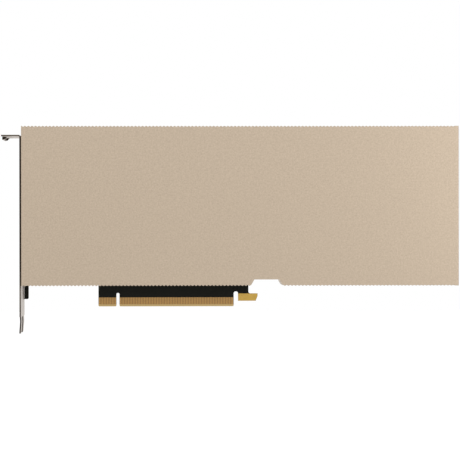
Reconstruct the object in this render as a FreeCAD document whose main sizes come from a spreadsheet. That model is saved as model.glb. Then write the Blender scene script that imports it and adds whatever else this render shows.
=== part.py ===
"""A two-slot, passively cooled accelerator card for a server, as a parametric document.

The frame of the card: X runs along the card towards its tail end, Z runs up from the tips of the edge
contacts, and the component side of the board faces -Y. The origin is at the centre of the key notch, on the
middle plane of the board, level with the contact tips. A height above that middle plane, towards -Y, is
called a lift.
"""

import FreeCAD
import Part
import Sketcher
import math
import os

SIZES = {
    # circuit board and its edge tongue
    "board_thick": 1.57,
    "board_left": 58.2,
    "board_setback": 3.7,
    "board_low": 14.9,
    "board_drop": 3.55,
    "key_width": 1.9,
    "key_high": 8.35,
    "tongue_left": 12.15,
    "tongue_right": 72.15,
    "tongue_chamfer": 0.5,
    "bevel_high": 1.2,
    "bevel_deep": 0.45,
    "bevel_room": 0.5,
    "hook_gap": 2.75,
    "hook_gap_high": 9.2,
    "hook_low": 3.35,
    "hook_high": 7.95,
    "hook_right": 87.05,
    "hook_slant": 1.2,
    "hook_nose": 1.6,
    "neck_right": 81.35,
    "neck_round": 1.2,
    "foot_width": 2.62,
    "foot_low": 4.65,
    "foot_round": 0.9,
    "latch_right": 103.6,
    "latch_high": 18.9,
    # gold on the tongue
    "contact_pitch": 1.0,
    "contact_width": 0.7,
    "contact_rise": 0.1,
    "contact_high": 5.55,
    "contact_inset": 0.2,
    "gold_thick": 0.04,
    # top-edge bridge tongues and their caps
    "link_first": 24.0,
    "link_pitch": 40.0,
    "link_width": 28.0,
    "link_count": 3,
    "link_rise": 2.3,
    "link_contact_margin": 1.2,
    "cap_wall": 1.0,
    "cap_rise": 3.3,
    "cap_room": 0.15,
    # shroud
    "shroud_length": 267.2,
    "shroud_low": 13.5,
    "shroud_high": 111.15,
    "shroud_front": 34.2,
    "shroud_skirt": 1.8,
    "shroud_face": 1.5,
    "shroud_wall": 1.8,
    "rib_pitch": 2.17,
    "rib_depth": 0.6,
    "rib_mouth": 1.8,
    "rib_margin": 0.4,
    "notch_left": 81.7,
    "notch_right": 101.4,
    "notch_rise": 3.85,
    "notch_slope": 2.2,
    # frame round the board
    "frame_room": 0.1,
    "rail_low_width": 6.1,
    "rail_high_width": 7.35,
    "tail_setback": 0.8,
    "bracket_member": 8.0,
    "tail_member": 8.9,
    "tail_hole_radius": 1.25,
    "tail_hole_depth": 6.0,
    "tail_hole_first": 30.0,
    "tail_hole_pitch": 40.0,
    # processor package
    "substrate_thick": 1.5,
    "die_width": 26.0,
    "die_height": 32.0,
    "die_thick": 0.8,
    "stack_width": 8.0,
    "stack_height": 10.0,
    "stack_pitch": 11.0,
    "stack_gap": 0.8,
    "ring_gap": 1.1,
    "ring_width": 4.6,
    "paste_thick": 0.1,
    "paste_spread": 0.2,
    # heat sink
    "chamber_left": 20.0,
    "chamber_setback": 79.7,
    "chamber_margin": 2.2,
    "chamber_thick": 4.0,
    "chamber_round": 4.0,
    "base_left": 46.0,
    "base_setback": 31.7,
    "base_lap_low": 1.7,
    "base_lap_high": 6.8,
    "base_thick": 2.2,
    "fin_thick": 0.4,
    "fin_pitch": 2.2,
    "fin_margin": 0.3,
    "fin_left": 50.0,
    "fin_setback": 6.7,
    "fin_clear": 4.0,
    "fin_room": 0.3,
    "post_radius": 3.0,
    "post_side": 10.5,
    "post_end": 5.5,
    # power parts on the board
    "phase_margin": 4.2,
    "phase_count": 8,
    "phase_gap": 6.0,
    "inductor_width": 8.0,
    "inductor_height": 7.0,
    "inductor_tall": 5.0,
    "stage_gap": 2.5,
    "stage_width": 6.0,
    "stage_height": 5.0,
    "stage_tall": 0.9,
    "output_gap": 0.3,
    "output_width": 3.5,
    "output_height": 2.8,
    "output_tall": 1.9,
    "input_gap": 10.4,
    "input_pitch": 10.5,
    "input_count": 6,
    "input_width": 6.2,
    "input_height": 7.3,
    "input_tall": 4.0,
    "chip_left": 40.0,
    "chip_pitch": 17.0,
    "chip_columns": 2,
    "chip_rows": 4,
    "chip_width": 9.0,
    "chip_height": 7.0,
    "chip_tall": 1.2,
    # power inlet
    "socket_setback": 1.2,
    "socket_length": 14.0,
    "socket_drop": 1.3,
    "socket_wall": 0.9,
    "cell_width": 3.3,
    "cell_pitch": 4.2,
    "cell_columns": 4,
    "cell_rows": 2,
    "cell_depth": 9.5,
    "pin_width": 1.07,
    "pin_length": 7.5,
    "socket_room": 0.5,
    "socket_latch_width": 4.6,
    "socket_latch_run": 3.2,
    "socket_latch_rise": 1.3,
    "socket_latch_inset": 2.4,
    # back cover
    "back_gap": 1.35,
    "back_thick": 1.2,
    "back_left": 57.5,
    "back_setback": 4.2,
    "back_rise": 0.7,
    "back_drop": 0.6,
    "back_latch_room": 1.1,
    "back_round": 3.0,
    "window_margin": 2.0,
    "boss_radius": 2.4,
    "boss_margin": 0.1,
    "film_thick": 0.25,
    "film_margin": 0.6,
    "spring_thick": 1.5,
    "spring_arm": 10.0,
    # screws
    "screw_room": 0.1,
    "back_screw_end": 7.75,
    "back_screw_count": 4,
    "back_screw_radius": 1.1,
    "back_screw_head": 2.1,
    "back_screw_sink": 0.7,
    "back_screw_bite": 2.8,
    "shroud_screw_end": 18.0,
    "shroud_screw_count": 4,
    "shroud_screw_lift": 5.1,
    "shroud_screw_radius": 1.0,
    "shroud_screw_head": 1.9,
    "shroud_screw_sink": 0.9,
    "shroud_screw_bite": 3.6,
    "bracket_screw_first": 26.0,
    "bracket_screw_pitch": 36.0,
    "bracket_screw_count": 3,
    "bracket_screw_radius": 1.25,
    "bracket_screw_head": 2.6,
    "bracket_screw_rise": 1.1,
    "bracket_screw_bite": 5.0,
    "spring_screw_radius": 1.1,
    "spring_screw_head": 2.7,
    "spring_screw_rise": 0.8,
    "spring_screw_spare": 0.2,
    # bracket
    "bracket_gap": 0.19,
    "sheet_thick": 0.86,
    "bend_round": 0.6,
    "bracket_back": 3.7,
    "bracket_width": 38.74,
    "bracket_high": 105.7,
    "bracket_low": -5.5,
    "flange_reach": 11.14,
    "lip_drop": 1.7,
    "prong_width": 10.19,
    "prong_tip": -15.6,
    "prong_first": 9.21,
    "slot_pitch": 20.32,
    "prong_jog": 0.1,
    "prong_jog_high": -6.2,
    "prong_jog_low": -8.6,
    "prong_flare": 0.45,
    "prong_corner": 2.2,
    "notch_width": 4.42,
    "notch_deep": 6.3,
    "notch_first": 9.21,
    "vent_height": 3.2,
    "vent_point": 1.3,
    "vent_first_lift": 9.5,
    "vent_edge": 1.4,
    "vent_gap": 1.4,
    "vent_columns": 2,
    "vent_low": 23.0,
    "vent_pitch": 5.65,
    "vent_rows": 15,
}


class Term:
    """A number together with the sheet formula that it comes from."""

    def __init__(self, formula, number):
        self.formula = formula
        self.number = number

    def join(self, sign, other, number):
        return Term(f"({self.formula} {sign} {other.formula})", number)

    def __add__(self, other):
        other = as_term(other)
        return self.join("+", other, self.number + other.number)

    def __radd__(self, other):
        return as_term(other) + self

    def __sub__(self, other):
        other = as_term(other)
        return self.join("-", other, self.number - other.number)

    def __rsub__(self, other):
        return as_term(other) - self

    def __mul__(self, other):
        other = as_term(other)
        return self.join("*", other, self.number * other.number)

    def __rmul__(self, other):
        return as_term(other) * self

    def __truediv__(self, other):
        other = as_term(other)
        return self.join("/", other, self.number / other.number)

    def __neg__(self):
        return as_term(0) - self

    def whole(self):
        """The term rounded down, for counts."""
        return Term(f"floor({self.formula})", math.floor(self.number))


def as_term(item):
    """A bare number as a term; a term is left as it is."""
    if isinstance(item, Term):
        return item
    return Term(str(item), item)


class Sizes:
    """Each cell of the sheet as a term, under its alias."""

    def __init__(self, numbers):
        for alias, number in numbers.items():
            setattr(self, alias, Term(f"Sizes.{alias}", number))


doc = FreeCAD.newDocument("AcceleratorCard")
sheet = doc.addObject("Spreadsheet::Sheet", "Sizes")
for row, (alias, number) in enumerate(SIZES.items(), start=1):
    sheet.set(f"A{row}", alias)
    sheet.set(f"B{row}", str(number))
    sheet.setAlias(f"B{row}", alias)
doc.recompute()
size = Sizes(SIZES)
sub_parts = []

# Lifts of the stack on the component side, from the board's middle plane outwards.
half_board = size.board_thick / 2
substrate_top = half_board + size.substrate_thick
die_top = substrate_top + size.die_thick
chamber_under = die_top + size.paste_thick
base_under = chamber_under + size.chamber_thick
base_top = base_under + size.base_thick
shroud_front = half_board + size.shroud_front
shroud_inside = shroud_front - size.shroud_face
shroud_rear = half_board + size.shroud_skirt
fin_top = shroud_inside - size.fin_room
rail_middle = (half_board + base_under) / 2
socket_tall = size.cell_rows * size.cell_pitch + 2 * size.socket_wall
socket_top = half_board + socket_tall
fin_step = socket_top + size.fin_clear

# Lifts of the stack on the back, which are below zero.
film_under = -half_board - size.film_thick
spring_under = film_under - size.spring_thick
back_over = -half_board - size.back_gap
back_under = back_over - size.back_thick

# Places along the card that several pieces share. The tail ends keep their setbacks from the shroud's end.
bracket_inner = -size.board_left - size.bracket_gap
bracket_outer = bracket_inner - size.sheet_thick
shroud_left = -size.board_left
shroud_right = shroud_left + size.shroud_length
board_right = shroud_right - size.board_setback
frame_tail = shroud_right - size.tail_setback
base_right = shroud_right - size.base_setback
fin_right = shroud_right - size.fin_setback
socket_mouth = shroud_right - size.socket_setback
back_right = shroud_right - size.back_setback
chamber_right = shroud_right - size.chamber_setback
processor_x = (size.chamber_left + chamber_right) / 2

# Heights up the card that several pieces share, from the shroud's long walls inwards.
wall_top = size.shroud_high - size.shroud_wall
wall_low = size.shroud_low + size.shroud_wall
notch_top = size.shroud_low + size.notch_rise
notch_wall_top = notch_top + size.shroud_wall
rail_low = wall_low + size.frame_room
rail_high = wall_top - size.frame_room
rail_inner_low = rail_low + size.rail_low_width
rail_inner_high = rail_high - size.rail_high_width
processor_z = (rail_inner_low + rail_inner_high) / 2
board_high = size.shroud_high - size.board_drop
link_high = board_high + size.link_rise
back_low = size.board_low + size.back_rise
back_high = board_high - size.back_drop
socket_width = size.cell_columns * size.cell_pitch + 2 * size.socket_wall
socket_low = rail_inner_high - size.socket_drop - socket_width
contact_low = size.bevel_high + size.contact_rise

# The processor package is as wide as what stands on it, and the posts stand round the package.
stacks_across = size.die_width + 2 * (size.stack_gap + size.stack_width)
substrate_width = stacks_across + 2 * (size.ring_gap + size.ring_width)
post_across = substrate_width + 2 * size.post_side
post_up = substrate_width + 2 * size.post_end
phase_pitch = (rail_inner_high - rail_inner_low - 2 * size.phase_margin) / size.phase_count
phase_low = rail_inner_low + size.phase_margin + phase_pitch / 2

# Rows of screws, from one end of what they hold to the other.
back_screw_first = size.back_screw_end - size.back_left
back_screw_pitch = (back_right - size.back_screw_end - back_screw_first) / (size.back_screw_count - 1)
back_screw_low = (rail_low + rail_inner_low) / 2
back_screw_high = back_high - size.boss_radius - size.boss_margin
shroud_screw_first = shroud_left + size.shroud_screw_end
shroud_screw_pitch = (size.shroud_length - 2 * size.shroud_screw_end) / (size.shroud_screw_count - 1)

# The many small screws and their holes are drawn with flats: ten where they show, eight where they do not.
SHOWN_FLATS = 10
HIDDEN_FLATS = 8
POST_FLATS = 6


def make_body(label):
    """Starts one sub-part of the card."""
    body = doc.addObject("PartDesign::Body", label)
    body.Label = label
    sub_parts.append(body)
    return body


def make_sketch(body, plane, offset):
    """A sketch on one of the body's origin planes, moved along the plane's normal by offset."""
    sketch = body.newObject("Sketcher::SketchObject", "Sketch")
    support = next(item for item in body.Origin.OriginFeatures if item.Role == plane)
    sketch.AttachmentSupport = [(support, "")]
    sketch.MapMode = "FlatFace"
    sketch.setExpression("AttachmentOffset.Base.z", as_term(offset).formula)
    return sketch


def bind(sketch, kind, elements, term):
    """Adds a constraint of one size and ties it to the sheet."""
    term = as_term(term)
    index = sketch.addConstraint(Sketcher.Constraint(kind, *elements, term.number))
    sketch.setExpression(f"Constraints[{index}]", term.formula)


def bind_point(sketch, geometry, end, point):
    """Ties one end or centre of a sketch element to a place measured from the sketch's origin."""
    bind(sketch, "DistanceX", (-1, 1, geometry, end), point[0])
    bind(sketch, "DistanceY", (-1, 1, geometry, end), point[1])


def vector(point):
    return FreeCAD.Vector(as_term(point[0]).number, as_term(point[1]).number, 0)


def polygon(sketch, points):
    """A closed outline of straight lines through the points."""
    first = sketch.GeometryCount
    count = len(points)
    for index, point in enumerate(points):
        following = points[(index + 1) % count]
        sketch.addGeometry(Part.LineSegment(vector(point), vector(following)), False)
    for index in range(count):
        ends = (first + index, 2, first + (index + 1) % count, 1)
        sketch.addConstraint(Sketcher.Constraint("Coincident", *ends))
    for index, point in enumerate(points):
        bind_point(sketch, first + index, 1, point)


def rectangle(sketch, left, low, right, high):
    polygon(sketch, [(left, low), (right, low), (right, high), (left, high)])


def circle(sketch, centre, radius):
    radius = as_term(radius)
    round_edge = Part.Circle(vector(centre), FreeCAD.Vector(0, 0, 1), radius.number)
    index = sketch.addGeometry(round_edge, False)
    bind_point(sketch, index, 3, centre)
    bind(sketch, "Radius", (index,), radius)


def flats(sketch, centre, radius, count):
    """A regular outline whose flats lie on the circle of that radius."""
    reach = radius / round(math.cos(math.pi / count), 6)
    corners = []
    for index in range(count):
        angle = math.pi * (2 * index + 1) / count
        x = centre[0] + reach * round(math.cos(angle), 6)
        y = centre[1] + reach * round(math.sin(angle), 6)
        corners.append((x, y))
    polygon(sketch, corners)


def slot(sketch, left, right, height, radius):
    """A level slot with round ends, whose arcs are centred at left and right."""
    normal = FreeCAD.Vector(0, 0, 1)
    quarter = math.pi / 2
    left_round = Part.Circle(vector((left, height)), normal, radius.number)
    right_round = Part.Circle(vector((right, height)), normal, radius.number)
    left_arc = sketch.addGeometry(Part.ArcOfCircle(left_round, quarter, 3 * quarter), False)
    right_arc = sketch.addGeometry(Part.ArcOfCircle(right_round, -quarter, quarter), False)
    low = height - radius
    high = height + radius
    low_line = sketch.addGeometry(Part.LineSegment(vector((left, low)), vector((right, low))), False)
    high_line = sketch.addGeometry(Part.LineSegment(vector((right, high)), vector((left, high))), False)
    joints = [(left_arc, 2, low_line, 1), (low_line, 2, right_arc, 1),
              (right_arc, 2, high_line, 1), (high_line, 2, left_arc, 1)]
    for joint in joints:
        sketch.addConstraint(Sketcher.Constraint("Tangent", *joint))
    bind_point(sketch, left_arc, 3, (left, height))
    bind(sketch, "DistanceX", (-1, 1, right_arc, 3), right)
    bind(sketch, "Radius", (left_arc,), radius)


def finish_feature(body, feature):
    body.Tip = feature
    doc.recompute()
    return feature


def pad(body, sketch, length):
    """Material from the sketch outwards along its normal."""
    feature = body.newObject("PartDesign::Pad", "Pad")
    feature.Profile = sketch
    feature.setExpression("Length", as_term(length).formula)
    return finish_feature(body, feature)


def pocket(body, sketch, depth, outwards=False):
    """A cut from the sketch against its normal, or along it where outwards is set."""
    before = body.Tip.Shape.Volume
    feature = body.newObject("PartDesign::Pocket", "Pocket")
    feature.Profile = sketch
    feature.Reversed = outwards
    feature.setExpression("Length", as_term(depth).formula)
    finish_feature(body, feature)
    if feature.Shape.Volume >= before:
        raise ValueError(f"a pocket in {body.Label} cuts nothing")
    return feature


def row_of(body, sketch, direction):
    """One direction of a pattern, given as (sketch axis, count, pitch)."""
    axis, count, pitch = direction
    pattern = body.newObject("PartDesign::LinearPattern", "Row")
    pattern.Direction = (sketch, [axis])
    pattern.Mode = "Spacing"
    pattern.setExpression("Occurrences", as_term(count).formula)
    pattern.setExpression("Offset", as_term(pitch).formula)
    return pattern


def repeat(body, features, sketch, *directions):
    """Copies features in a row, or in a grid where there are two directions."""
    if len(directions) == 1:
        pattern = row_of(body, sketch, directions[0])
        pattern.Originals = features
        return finish_feature(body, pattern)
    grid = body.newObject("PartDesign::MultiTransform", "Grid")
    grid.Originals = features
    grid.Transformations = [row_of(body, sketch, direction) for direction in directions]
    return finish_feature(body, grid)


def round_edges(body, radius, direction, places):
    """Rounds the straight edges that run along direction through the given places."""
    shape = body.Tip.Shape
    names = []
    for index, edge in enumerate(shape.Edges, start=1):
        if edge.Curve.TypeId != "Part::GeomLine":
            continue
        if abs(edge.tangentAt(edge.FirstParameter).dot(direction)) < 0.999:
            continue
        for place in places:
            across = place - edge.Vertexes[0].Point
            across = across - direction * across.dot(direction)
            if across.Length < 0.01:
                names.append(f"Edge{index}")
    base = body.Tip
    fillet = body.newObject("PartDesign::Fillet", "Fillet")
    fillet.Base = (base, names)
    fillet.setExpression("Radius", as_term(radius).formula)
    return finish_feature(body, fillet)


def level_places(points):
    """Points of the board's plane as places for edges that run through the board."""
    return [FreeCAD.Vector(as_term(x).number, 0, as_term(z).number) for x, z in points]


ALONG_Y = FreeCAD.Vector(0, 1, 0)


def make_circuit_board():
    """The board, with its key notch, retention hook, latch cut-out, foot and bridge tongues."""
    body = make_body("circuit_board")
    left = -size.board_left
    foot_right = left + size.foot_width
    key = size.key_width / 2
    cut = size.tongue_chamfer
    gap_right = size.tongue_right + size.hook_gap
    outline = [
        (left, size.foot_low),
        (foot_right, size.foot_low),
        (foot_right, size.board_low),
        (-size.tongue_left, size.board_low),
        (-size.tongue_left, cut),
        (cut - size.tongue_left, 0),
        (-key - cut, 0),
        (-key, cut),
        (-key, size.key_high),
        (key, size.key_high),
        (key, cut),
        (key + cut, 0),
        (size.tongue_right - cut, 0),
        (size.tongue_right, cut),
        (size.tongue_right, size.hook_gap_high),
        (gap_right, size.hook_gap_high),
        (gap_right, size.hook_low),
        (size.hook_right - size.hook_slant, size.hook_low),
        (size.hook_right, size.hook_high - size.hook_nose),
        (size.hook_right, size.hook_high),
        (size.neck_right, size.hook_high),
        (size.neck_right, size.latch_high),
        (size.latch_right, size.latch_high),
        (size.latch_right, size.board_low),
        (board_right, size.board_low),
        (board_right, board_high),
        (left, board_high),
    ]
    sketch = make_sketch(body, "XZ_Plane", -half_board)
    polygon(sketch, outline)
    pad(body, sketch, size.board_thick)

    sketch = make_sketch(body, "XZ_Plane", -half_board)
    rectangle(sketch, size.link_first, board_high - size.cap_wall,
              size.link_first + size.link_width, link_high)
    tongue = pad(body, sketch, size.board_thick)
    repeat(body, [tongue], sketch, ("H_Axis", size.link_count, size.link_pitch))

    cut_back_screw_holes(body, half_board, size.board_thick)
    cut_post_holes(body, half_board, size.board_thick, size.spring_screw_radius)

    round_edges(body, size.foot_round, ALONG_Y, level_places([(foot_right, size.foot_low)]))
    round_edges(body, size.neck_round, ALONG_Y, level_places([(size.neck_right, size.hook_high)]))
    gap_corners = [(size.tongue_right, size.hook_gap_high), (gap_right, size.hook_gap_high)]
    round_edges(body, size.hook_gap * 0.45, ALONG_Y, level_places(gap_corners))
    key_corners = [(-key, size.key_high), (key, size.key_high)]
    round_edges(body, size.key_width * 0.45, ALONG_Y, level_places(key_corners))
    cut_bevels(body)


def cut_bevels(body):
    """Thins both faces of the tongue towards its tip, so that it finds its way into the slot."""
    sketch = make_sketch(body, "YZ_Plane", size.tongue_right + size.hook_gap / 2)
    for side in (1, -1):
        face = half_board * side
        beyond = (half_board + size.bevel_room) * side
        tip = (half_board - size.bevel_deep) * side
        bevel = [
            (face, size.bevel_high),
            (tip, 0),
            (tip, -size.bevel_room),
            (beyond, -size.bevel_room),
            (beyond, size.bevel_high),
        ]
        polygon(sketch, bevel)
    pocket(body, sketch, size.tongue_right + size.tongue_left + size.hook_gap)


def cut_back_screw_holes(body, lift, depth):
    """Clearance holes for the screws that come through from the back, cut from lift towards the back."""
    sketch = make_sketch(body, "XZ_Plane", lift)
    flats(sketch, (back_screw_first, back_screw_low), size.back_screw_radius + size.screw_room, HIDDEN_FLATS)
    hole = pocket(body, sketch, depth)
    repeat(body, [hole], sketch, *back_screw_rows())


def back_screw_rows():
    """The two directions in which the screws of the back cover repeat."""
    along = ("H_Axis", size.back_screw_count, back_screw_pitch)
    across = ("V_Axis", 2, back_screw_high - back_screw_low)
    return along, across


def cut_post_holes(body, lift, depth, radius):
    """Holes under the four posts of the heat sink, cut from lift towards the back."""
    sketch = make_sketch(body, "XZ_Plane", lift)
    flats(sketch, post_corner(), radius + size.screw_room, HIDDEN_FLATS)
    hole = pocket(body, sketch, depth)
    repeat(body, [hole], sketch, ("H_Axis", 2, post_across), ("V_Axis", 2, post_up))


def post_corner():
    """The lower left of the four posts round the processor."""
    return processor_x - post_across / 2, processor_z - post_up / 2


def make_edge_contacts(label, lift):
    """One face's contacts: a short row left of the key and a long row right of it."""
    body = make_body(label)
    key = size.key_width / 2
    rows = [
        (contact_row_start(-size.tongue_left, -key), contact_count(-size.tongue_left, -key)),
        (contact_row_start(key, size.tongue_right), contact_count(key, size.tongue_right)),
    ]
    for start, count in rows:
        sketch = make_sketch(body, "XZ_Plane", lift)
        rectangle(sketch, start, contact_low, start + size.contact_width, size.contact_high)
        contact = pad(body, sketch, size.gold_thick)
        repeat(body, [contact], sketch, ("H_Axis", count, size.contact_pitch))


def contact_count(left, right):
    """How many contacts fit between two ends of the tongue."""
    room = right - left - 2 * size.contact_inset - size.contact_width
    return (room / size.contact_pitch).whole() + 1


def contact_row_start(left, right):
    """Where the first contact begins, so that the row is centred between the two ends."""
    row = (contact_count(left, right) - 1) * size.contact_pitch + size.contact_width
    return (left + right - row) / 2


def make_hook_plating():
    """The gold field on both faces of the retention hook."""
    body = make_body("hook_plating")
    margin = size.gold_thick
    left = size.tongue_right + size.hook_gap + margin
    low = size.hook_low + margin
    high = size.hook_high - margin
    right = size.hook_right - 2 * margin
    nose = size.hook_high - size.hook_nose
    field = [(left, low), (right - size.hook_slant, low), (right, nose), (right, high), (left, high)]
    for lift in (half_board, -half_board - size.gold_thick):
        sketch = make_sketch(body, "XZ_Plane", lift)
        polygon(sketch, field)
        pad(body, sketch, size.gold_thick)


def make_link_contacts():
    """The contact fields on both faces of the bridge tongues."""
    body = make_body("link_contacts")
    left = size.link_first + size.link_contact_margin
    right = size.link_first + size.link_width - size.link_contact_margin
    low = board_high + size.cap_wall
    for lift in (half_board, -half_board - size.gold_thick):
        sketch = make_sketch(body, "XZ_Plane", lift)
        rectangle(sketch, left, low, right, link_high - size.gold_thick)
        field = pad(body, sketch, size.gold_thick)
        repeat(body, [field], sketch, ("H_Axis", size.link_count, size.link_pitch))


def make_link_caps():
    """Dust caps that slip over the bridge tongues."""
    body = make_body("link_caps")
    low = board_high + size.cap_room
    left = size.link_first - size.cap_room
    right = size.link_first + size.link_width + size.cap_room
    inner = half_board + size.gold_thick + size.cap_room
    outer = inner + size.cap_wall
    sketch = make_sketch(body, "XZ_Plane", -outer)
    rectangle(sketch, left - size.cap_wall, low, right + size.cap_wall, board_high + size.cap_rise)
    block = pad(body, sketch, 2 * outer)
    sketch = make_sketch(body, "XZ_Plane", -inner)
    rectangle(sketch, left, low - size.cap_wall, right, link_high)
    hollow = pocket(body, sketch, 2 * inner, outwards=True)
    repeat(body, [block, hollow], sketch, ("H_Axis", size.link_count, size.link_pitch))


def notched_outline(left, right, low, high, rise, margin):
    """A long rectangle whose lower edge steps up over the latch by the shroud's trapezoid cut-out."""
    step_left = size.notch_left - margin
    step_right = size.notch_right + margin
    return [
        (left, low),
        (step_left, low),
        (step_left + size.notch_slope, rise),
        (step_right - size.notch_slope, rise),
        (step_right, low),
        (right, low),
        (right, high),
        (left, high),
    ]


def make_front_shroud():
    """The cover: a channel with a plain face, ribbed long walls and a cut-out over the slot's latch."""
    body = make_body("front_shroud")
    outside = notched_outline(shroud_left, shroud_right, size.shroud_low, size.shroud_high, notch_top, 0)
    sketch = make_sketch(body, "XZ_Plane", shroud_rear)
    polygon(sketch, outside)
    pad(body, sketch, shroud_front - shroud_rear)

    overrun = size.shroud_wall
    inside = notched_outline(shroud_left - overrun, shroud_right + overrun, wall_low, wall_top,
                             notch_wall_top, size.shroud_wall)
    sketch = make_sketch(body, "XZ_Plane", shroud_inside)
    polygon(sketch, inside)
    pocket(body, sketch, shroud_inside - shroud_rear + overrun)

    cut_shroud_screw_holes(body)
    cut_ribs(body)


def cut_ribs(body):
    """Flutes across both long walls, from one end of the shroud to the other."""
    left = shroud_left + size.rib_margin
    right = left + size.rib_mouth
    middle = left + size.rib_mouth / 2
    grooves = []
    for edge, depth in ((size.shroud_high, size.rib_depth), (size.shroud_low, -size.rib_depth)):
        sketch = make_sketch(body, "XZ_Plane", shroud_rear)
        flute = [
            (left, edge),
            (middle, edge - depth),
            (right, edge),
            (right, edge + depth),
            (left, edge + depth),
        ]
        polygon(sketch, flute)
        grooves.append(pocket(body, sketch, shroud_front - shroud_rear, outwards=True))
    room = size.shroud_length - 2 * size.rib_margin - size.rib_mouth
    count = (room / size.rib_pitch).whole() + 1
    repeat(body, grooves, sketch, ("H_Axis", count, size.rib_pitch))


def cut_shroud_screw_holes(body):
    """Sunk holes through the long walls for the screws that hold the shroud to the frame."""
    centre = (shroud_screw_first, -(half_board + size.shroud_screw_lift))
    for surface, outwards in ((size.shroud_high, False), (size.shroud_low, True)):
        sketch = make_sketch(body, "XY_Plane", surface)
        flats(sketch, centre, size.shroud_screw_radius + size.screw_room, HIDDEN_FLATS)
        hole = pocket(body, sketch, size.shroud_wall, outwards)
        seat_sketch = make_sketch(body, "XY_Plane", surface)
        flats(seat_sketch, centre, size.shroud_screw_head + size.screw_room, SHOWN_FLATS)
        seat = pocket(body, seat_sketch, size.shroud_screw_sink, outwards)
        along = ("H_Axis", size.shroud_screw_count, shroud_screw_pitch)
        repeat(body, [hole, seat], seat_sketch, along)


def make_shroud_screws():
    """Low-head screws in the long walls of the shroud."""
    body = make_body("shroud_screws")
    centre = (shroud_screw_first, -(half_board + size.shroud_screw_lift))
    reach = size.shroud_wall - size.shroud_screw_sink + size.frame_room + size.shroud_screw_bite
    head_height = size.shroud_screw_sink - size.rib_depth / 2
    high_seat = size.shroud_high - size.shroud_screw_sink
    low_seat = size.shroud_low + size.shroud_screw_sink
    for head_start, shank_start in ((high_seat, high_seat - reach), (low_seat - head_height, low_seat)):
        head_sketch = make_sketch(body, "XY_Plane", head_start)
        flats(head_sketch, centre, size.shroud_screw_head, SHOWN_FLATS)
        head = pad(body, head_sketch, head_height)
        shank_sketch = make_sketch(body, "XY_Plane", shank_start)
        flats(shank_sketch, centre, size.shroud_screw_radius, HIDDEN_FLATS)
        shank = pad(body, shank_sketch, reach)
        along = ("H_Axis", size.shroud_screw_count, shroud_screw_pitch)
        repeat(body, [head, shank], head_sketch, along)


def make_board_frame():
    """The rails round the board that carry the shroud, the bracket, the heat sink and the back cover."""
    body = make_body("board_frame")
    room = size.frame_room
    outside = notched_outline(bracket_inner, frame_tail, rail_low, rail_high,
                              notch_wall_top + room, size.shroud_wall + 2 * room)
    sketch = make_sketch(body, "XZ_Plane", half_board)
    polygon(sketch, outside)
    rectangle(sketch, bracket_inner + size.bracket_member, rail_inner_low,
              frame_tail - size.tail_member, rail_inner_high)
    pad(body, sketch, base_under - half_board)

    sketch = make_sketch(body, "XZ_Plane", half_board)
    socket_high = socket_low + socket_width
    rectangle(sketch, frame_tail - size.tail_member - room, socket_low - size.socket_room,
              frame_tail + room, socket_high + size.socket_room)
    pocket(body, sketch, base_under - half_board, outwards=True)

    sketch = make_sketch(body, "XZ_Plane", half_board)
    cap_lift = size.gold_thick + 2 * size.cap_room + size.cap_wall
    side = 2 * size.cap_room + size.cap_wall
    rectangle(sketch, size.link_first - side, board_high - size.cap_room,
              size.link_first + size.link_width + side, size.shroud_high)
    relief = pocket(body, sketch, cap_lift, outwards=True)
    repeat(body, [relief], sketch, ("H_Axis", size.link_count, size.link_pitch))

    cut_frame_screw_holes(body)


def cut_frame_screw_holes(body):
    """Tapped holes in the frame: from the back, from both long sides, from the bracket and from the tail."""
    sketch = make_sketch(body, "XZ_Plane", half_board)
    flats(sketch, (back_screw_first, back_screw_low), size.back_screw_radius + size.screw_room, HIDDEN_FLATS)
    hole = pocket(body, sketch, size.back_screw_bite + size.screw_room, outwards=True)
    repeat(body, [hole], sketch, *back_screw_rows())

    centre = (shroud_screw_first, -(half_board + size.shroud_screw_lift))
    depth = size.shroud_screw_bite + size.screw_room
    for surface, outwards in ((rail_high, False), (rail_low, True)):
        sketch = make_sketch(body, "XY_Plane", surface)
        flats(sketch, centre, size.shroud_screw_radius + size.screw_room, HIDDEN_FLATS)
        hole = pocket(body, sketch, depth, outwards)
        repeat(body, [hole], sketch, ("H_Axis", size.shroud_screw_count, shroud_screw_pitch))

    sketch = make_sketch(body, "YZ_Plane", bracket_inner)
    hole_radius = size.bracket_screw_radius + size.screw_room
    flats(sketch, (-rail_middle, size.bracket_screw_first), hole_radius, HIDDEN_FLATS)
    hole = pocket(body, sketch, size.bracket_screw_bite + size.screw_room, outwards=True)
    repeat(body, [hole], sketch, ("V_Axis", size.bracket_screw_count, size.bracket_screw_pitch))

    sketch = make_sketch(body, "YZ_Plane", frame_tail)
    circle(sketch, (-rail_middle, size.tail_hole_first), size.tail_hole_radius)
    hole = pocket(body, sketch, size.tail_hole_depth)
    repeat(body, [hole], sketch, ("V_Axis", 2, size.tail_hole_pitch))


def centred_rectangle(sketch, centre, width, height):
    x, z = centre
    rectangle(sketch, x - width / 2, z - height / 2, x + width / 2, z + height / 2)


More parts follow.
